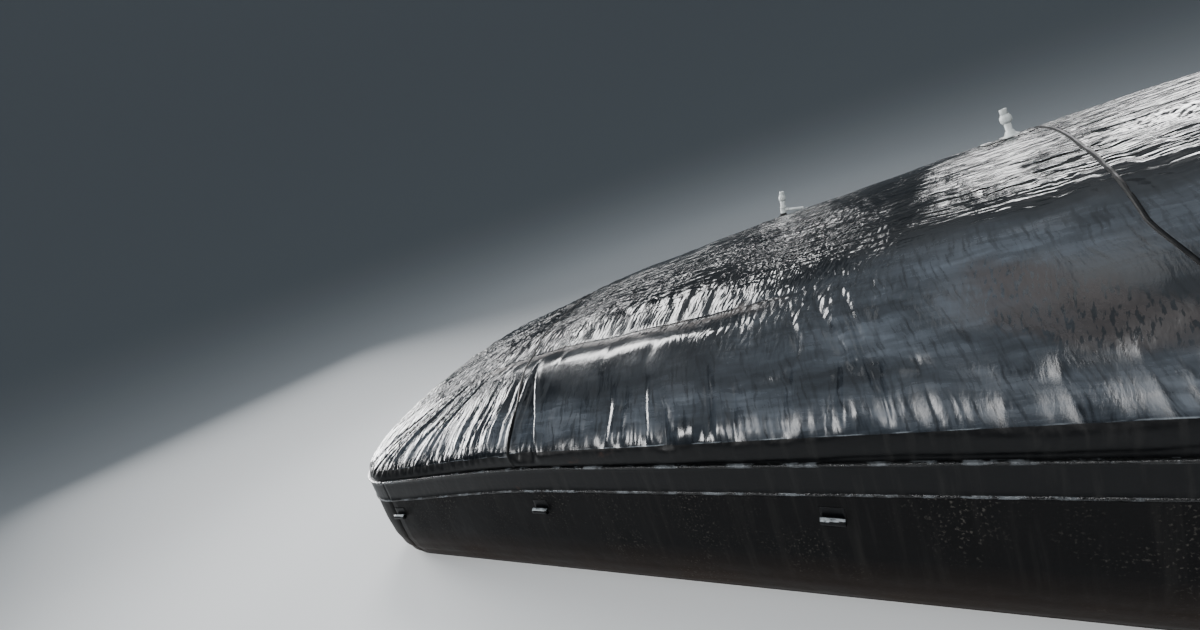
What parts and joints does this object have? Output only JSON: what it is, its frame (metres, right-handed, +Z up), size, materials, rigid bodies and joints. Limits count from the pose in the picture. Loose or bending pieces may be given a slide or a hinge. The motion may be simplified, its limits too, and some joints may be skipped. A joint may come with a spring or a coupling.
{
  "type": "biogas digester",
  "caption": "Long low bag digester of black plastic sheet: a trough of liner, a wide seam band, an inflated cover, tie loops and two white pipes.",
  "frame": {"origin": "centre of the footprint, on the ground", "axes": "+X along the digester, away from the end that is seen; +Y across it, away from the viewer; +Z up"},
  "size_m": [20.672, 6.18, 3.1136],
  "materials": {
    "liner": "matt",
    "cover": "glossy",
    "weld": "satin",
    "pipe": "satin"
  },
  "bodies": {
    "root": {"liner_floor": "liner", "liner_front": "liner", "liner_back": "liner", "liner_left_end": "liner", "liner_right_end": "liner", "seam_band_front": "weld", "seam_band_back": "weld", "seam_band_left_end": "weld", "seam_band_right_end": "weld", "cover_left_end": "cover", "cover_left": "cover", "cover_middle": "cover", "cover_right": "cover", "cover_right_end": "cover", "cover_weld_1": "weld", "cover_weld_2": "weld", "cover_weld_3": "weld", "cover_weld_4": "weld", "tie_loop_front_1": "weld", "tie_loop_front_2": "weld", "tie_loop_front_3": "weld", "tie_loop_front_4": "weld", "tie_loop_front_5": "weld", "tie_loop_front_6": "weld", "tie_loop_front_7": "weld", "tie_loop_front_8": "weld", "tie_loop_back_1": "weld", "tie_loop_back_2": "weld", "tie_loop_back_3": "weld", "tie_loop_back_4": "weld", "tie_loop_back_5": "weld", "tie_loop_back_6": "weld", "tie_loop_back_7": "weld", "tie_loop_back_8": "weld", "gas_pipe_riser": "pipe", "gas_pipe_tee": "pipe", "gas_pipe_branch": "pipe", "gas_pipe_union": "pipe", "gas_pipe_tip": "pipe", "gas_pipe_boot": "weld", "vent_riser": "pipe", "vent_union": "pipe", "vent_tip": "pipe", "vent_boot": "pipe", "gas_pipe_patch": "cover", "vent_patch": "cover"}
  },
  "joints": []
}
